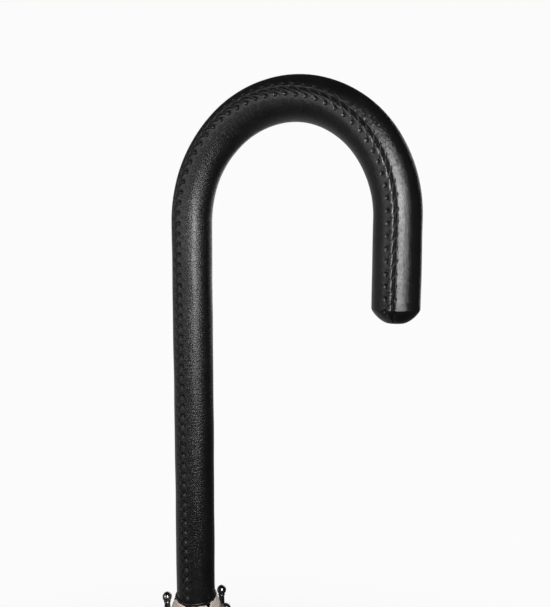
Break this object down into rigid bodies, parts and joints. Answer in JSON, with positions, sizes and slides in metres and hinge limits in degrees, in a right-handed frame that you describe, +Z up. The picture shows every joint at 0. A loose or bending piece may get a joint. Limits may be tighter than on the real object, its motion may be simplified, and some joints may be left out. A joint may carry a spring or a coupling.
{
  "type": "stick umbrella",
  "caption": "Furled stick umbrella that serves as a walking stick: black leather crook handle, steel shaft, ball-tipped ribs, sliding runner, taupe canopy and ferrule.",
  "frame": {"origin": "centre of the ferrule's foot, where the stick meets the ground", "axes": "+Z up the shaft to the handle; the crook lies in the XZ plane and its nose points to +X"},
  "size_m": [0.1389, 0.0458, 0.919],
  "materials": {
    "core_wood": "unfinished hardwood, hidden under the leather",
    "steel": "plain wire and sheet steel",
    "black_leather": "smooth black leather, softly polished",
    "black_welt": "thin black edge ring",
    "black_thread": "waxed black thread",
    "black_lacquer": "black lacquered steel",
    "dark_nickel": "polished dark nickel plate",
    "worn_brass": "turned brass, worn at the edge",
    "black_moulding": "moulded black nylon",
    "taupe_cloth": "fine taupe pongee, plain weave"
  },
  "bodies": {
    "frame": {"handle_core": "core_wood", "handle_pin": "steel", "handle_leather": "black_leather", "nose_cap": "black_leather", "handle_ring": "black_welt", "seam_thread": "black_thread", "shaft": "black_lacquer", "ferrule": "dark_nickel", "ferrule_tip": "worn_brass", "crown": "dark_nickel", "crown_pins": "steel", "rosette": "taupe_cloth", "crown_cap": "dark_nickel"},
    "rib_1": {"rib_1": "black_lacquer", "rib_clip_1": "steel", "rib_tip_1": "dark_nickel", "tie_strap": "taupe_cloth", "strap_snap": "dark_nickel"},
    "stretcher_1": {"stretcher_1": "black_lacquer"},
    "panel_1": {"canopy_panel_1": "taupe_cloth"},
    "rib_2": {"rib_2": "black_lacquer", "rib_clip_2": "steel", "rib_tip_2": "dark_nickel"},
    "stretcher_2": {"stretcher_2": "black_lacquer"},
    "panel_2": {"canopy_panel_2": "taupe_cloth"},
    "rib_3": {"rib_3": "black_lacquer", "rib_clip_3": "steel", "rib_tip_3": "dark_nickel"},
    "stretcher_3": {"stretcher_3": "black_lacquer"},
    "panel_3": {"canopy_panel_3": "taupe_cloth"},
    "rib_4": {"rib_4": "black_lacquer", "rib_clip_4": "steel", "rib_tip_4": "dark_nickel"},
    "stretcher_4": {"stretcher_4": "black_lacquer"},
    "panel_4": {"canopy_panel_4": "taupe_cloth"},
    "rib_5": {"rib_5": "black_lacquer", "rib_clip_5": "steel", "rib_tip_5": "dark_nickel"},
    "stretcher_5": {"stretcher_5": "black_lacquer"},
    "panel_5": {"canopy_panel_5": "taupe_cloth"},
    "rib_6": {"rib_6": "black_lacquer", "rib_clip_6": "steel", "rib_tip_6": "dark_nickel"},
    "stretcher_6": {"stretcher_6": "black_lacquer"},
    "panel_6": {"canopy_panel_6": "taupe_cloth"},
    "runner": {"runner": "black_moulding", "runner_pins": "steel"},
    "bottom_catch": {"bottom_catch": "steel"},
    "top_catch": {"top_catch": "steel"}
  },
  "joints": [
    {"name": "rib_1_open", "type": "hinge", "parent": "frame", "child": "rib_1", "pos_m": [0.00778, 0.00187, 0.072], "axis": [-0.2334, 0.9724, 0], "range_deg": [0, 65.12], "deforming": ["bottom_catch", "top_catch", "tie_strap", "strap_snap"]},
    {"name": "rib_2_open", "type": "hinge", "parent": "frame", "child": "rib_2", "pos_m": [0.00227, 0.00767, 0.072], "axis": [-0.9588, 0.284, 0], "range_deg": [-0.01, 65.13]},
    {"name": "rib_3_open", "type": "hinge", "parent": "frame", "child": "rib_3", "pos_m": [-0.00551, 0.0058, 0.072], "axis": [-0.7254, -0.6884, 0], "range_deg": [-0.01, 65.13]},
    {"name": "rib_4_open", "type": "hinge", "parent": "frame", "child": "rib_4", "pos_m": [-0.00778, -0.00187, 0.072], "axis": [0.2334, -0.9724, 0], "range_deg": [-0.01, 65.13]},
    {"name": "rib_5_open", "type": "hinge", "parent": "frame", "child": "rib_5", "pos_m": [-0.00227, -0.00767, 0.072], "axis": [0.9588, -0.284, 0], "range_deg": [-0.01, 65.13]},
    {"name": "rib_6_open", "type": "hinge", "parent": "frame", "child": "rib_6", "pos_m": [0.00551, -0.0058, 0.072], "axis": [0.7254, 0.6884, 0], "range_deg": [-0.01, 65.13]},
    {"name": "stretcher_1_fold", "type": "hinge", "parent": "rib_1", "child": "stretcher_1", "pos_m": [0.00906, 0.00217, 0.352], "axis": [-0.2334, 0.9724, 0], "range_deg": [-130.25, 0.02]},
    {"name": "stretcher_2_fold", "type": "hinge", "parent": "rib_2", "child": "stretcher_2", "pos_m": [0.00265, 0.00893, 0.352], "axis": [-0.9588, 0.284, 0], "range_deg": [-130.25, 0.02]},
    {"name": "stretcher_3_fold", "type": "hinge", "parent": "rib_3", "child": "stretcher_3", "pos_m": [-0.00641, 0.00676, 0.352], "axis": [-0.7254, -0.6884, 0], "range_deg": [-130.25, 0.02]},
    {"name": "stretcher_4_fold", "type": "hinge", "parent": "rib_4", "child": "stretcher_4", "pos_m": [-0.00906, -0.00217, 0.352], "axis": [0.2334, -0.9724, 0], "range_deg": [-130.25, 0.02]},
    {"name": "stretcher_5_fold", "type": "hinge", "parent": "rib_5", "child": "stretcher_5", "pos_m": [-0.00265, -0.00893, 0.352], "axis": [0.9588, -0.284, 0], "range_deg": [-130.25, 0.02]},
    {"name": "stretcher_6_fold", "type": "hinge", "parent": "rib_6", "child": "stretcher_6", "pos_m": [0.00641, -0.00676, 0.352], "axis": [0.7254, 0.6884, 0], "range_deg": [-130.25, 0.02]},
    {"name": "panel_1_spread", "type": "hinge", "parent": "rib_1", "child": "panel_1", "pos_m": [0.00765, 0.00184, 0.06324], "axis": [-0.8931, -0.4495, 0.015], "range_deg": [-0.01, 54.38]},
    {"name": "panel_2_spread", "type": "hinge", "parent": "rib_2", "child": "panel_2", "pos_m": [0.00223, 0.00754, 0.06324], "axis": [-0.0573, -0.9982, 0.015], "range_deg": [-0.01, 54.38]},
    {"name": "panel_3_spread", "type": "hinge", "parent": "rib_3", "child": "panel_3", "pos_m": [-0.00541, 0.00571, 0.06324], "axis": [0.8359, -0.5487, 0.015], "range_deg": [-0.01, 54.38]},
    {"name": "panel_4_spread", "type": "hinge", "parent": "rib_4", "child": "panel_4", "pos_m": [-0.00765, -0.00184, 0.06324], "axis": [0.8931, 0.4495, 0.015], "range_deg": [-0.01, 54.38]},
    {"name": "panel_5_spread", "type": "hinge", "parent": "rib_5", "child": "panel_5", "pos_m": [-0.00223, -0.00754, 0.06324], "axis": [0.0573, 0.9982, 0.015], "range_deg": [-0.01, 54.38]},
    {"name": "panel_6_spread", "type": "hinge", "parent": "rib_6", "child": "panel_6", "pos_m": [0.00541, -0.00571, 0.06324], "axis": [-0.8359, 0.5487, 0.015], "range_deg": [-0.01, 54.38]},
    {"name": "runner_travel", "type": "hinge", "parent": "stretcher_1", "child": "runner", "pos_m": [0.00778, 0.00187, 0.63199], "axis": [-0.2334, 0.9724, 0], "range_deg": [-0.01, 65.13]},
    {"name": "bottom_catch_press", "type": "slide", "parent": "frame", "child": "bottom_catch", "axis": [-0.7254, -0.6884, 0], "range_m": [0, 0.002], "stiffness_N_per_m": 600, "springref_m": -0.001},
    {"name": "top_catch_press", "type": "slide", "parent": "frame", "child": "top_catch", "axis": [-0.7254, -0.6884, 0], "range_m": [0, 0.002], "stiffness_N_per_m": 600, "springref_m": -0.001}
  ],
  "couplings": [
    {"joint": "rib_2_open", "follows": "rib_1_open", "ratio": 1},
    {"joint": "rib_3_open", "follows": "rib_1_open", "ratio": 1},
    {"joint": "rib_4_open", "follows": "rib_1_open", "ratio": 1},
    {"joint": "rib_5_open", "follows": "rib_1_open", "ratio": 1},
    {"joint": "rib_6_open", "follows": "rib_1_open", "ratio": 1},
    {"joint": "stretcher_1_fold", "follows": "rib_1_open", "ratio": -2},
    {"joint": "stretcher_2_fold", "follows": "rib_1_open", "ratio": -2},
    {"joint": "stretcher_3_fold", "follows": "rib_1_open", "ratio": -2},
    {"joint": "stretcher_4_fold", "follows": "rib_1_open", "ratio": -2},
    {"joint": "stretcher_5_fold", "follows": "rib_1_open", "ratio": -2},
    {"joint": "stretcher_6_fold", "follows": "rib_1_open", "ratio": -2},
    {"joint": "panel_1_spread", "follows": "rib_1_open", "ratio": 0.83477},
    {"joint": "panel_2_spread", "follows": "rib_1_open", "ratio": 0.83477},
    {"joint": "panel_3_spread", "follows": "rib_1_open", "ratio": 0.83477},
    {"joint": "panel_4_spread", "follows": "rib_1_open", "ratio": 0.83477},
    {"joint": "panel_5_spread", "follows": "rib_1_open", "ratio": 0.83477},
    {"joint": "panel_6_spread", "follows": "rib_1_open", "ratio": 0.83477},
    {"joint": "runner_travel", "follows": "rib_1_open", "ratio": 1}
  ]
}
